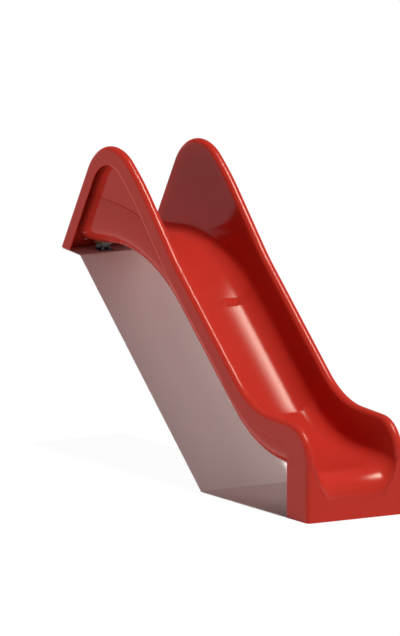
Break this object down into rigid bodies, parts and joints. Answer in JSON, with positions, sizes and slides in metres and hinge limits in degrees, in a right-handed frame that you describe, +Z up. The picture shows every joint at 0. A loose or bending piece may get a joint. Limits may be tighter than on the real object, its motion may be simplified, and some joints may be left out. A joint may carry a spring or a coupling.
{
  "type": "embankment slide",
  "caption": "Embankment slide: moulded U-shaped chute with high arched side mouldings and a run-out skirt, carried on a folded plate that lies on a bank.",
  "frame": {"origin": "ground level under the front of the run-out, on the middle line of the chute", "axes": "+X runs down the slide and out of its front, +Y is the slider's left, +Z is up"},
  "size_m": [2.6315, 0.608, 1.76],
  "materials": {
    "red_gelcoat": "glossy red gelcoat over glass-fibre laminate",
    "red_laminate": "unpolished glass-fibre laminate, red on its back face",
    "grey_plate": "grey powder coat with a sheen",
    "zinc_steel": "zinc-plated steel, black-passivated",
    "pad_resin": "resin-bonded fixing block"
  },
  "bodies": {
    "root": {"chute": "red_gelcoat", "left_side_moulding": "red_gelcoat", "right_side_moulding": "red_gelcoat", "runout_skirt": "red_gelcoat", "rear_panel": "red_gelcoat", "bank_plate": "grey_plate", "left_stiffener": "red_laminate", "right_stiffener": "red_laminate", "left_entry_bracket": "zinc_steel", "left_entry_pad": "pad_resin", "left_entry_bolt_1": "zinc_steel", "left_entry_bolt_2": "zinc_steel", "left_entry_stud_1": "zinc_steel", "left_entry_stud_2": "zinc_steel", "left_entry_washer_1": "zinc_steel", "left_entry_washer_2": "zinc_steel", "left_entry_nut_1": "zinc_steel", "left_entry_nut_2": "zinc_steel", "left_runout_bracket": "zinc_steel", "left_runout_pad": "pad_resin", "left_runout_bolt_1": "zinc_steel", "left_runout_bolt_2": "zinc_steel", "left_runout_stud_1": "zinc_steel", "left_runout_stud_2": "zinc_steel", "left_runout_washer_1": "zinc_steel", "left_runout_washer_2": "zinc_steel", "left_runout_nut_1": "zinc_steel", "left_runout_nut_2": "zinc_steel", "right_entry_bracket": "zinc_steel", "right_entry_pad": "pad_resin", "right_entry_bolt_1": "zinc_steel", "right_entry_bolt_2": "zinc_steel", "right_entry_stud_1": "zinc_steel", "right_entry_stud_2": "zinc_steel", "right_entry_washer_1": "zinc_steel", "right_entry_washer_2": "zinc_steel", "right_entry_nut_1": "zinc_steel", "right_entry_nut_2": "zinc_steel", "right_runout_bracket": "zinc_steel", "right_runout_pad": "pad_resin", "right_runout_bolt_1": "zinc_steel", "right_runout_bolt_2": "zinc_steel", "right_runout_stud_1": "zinc_steel", "right_runout_stud_2": "zinc_steel", "right_runout_washer_1": "zinc_steel", "right_runout_washer_2": "zinc_steel", "right_runout_nut_1": "zinc_steel", "right_runout_nut_2": "zinc_steel"}
  },
  "joints": []
}
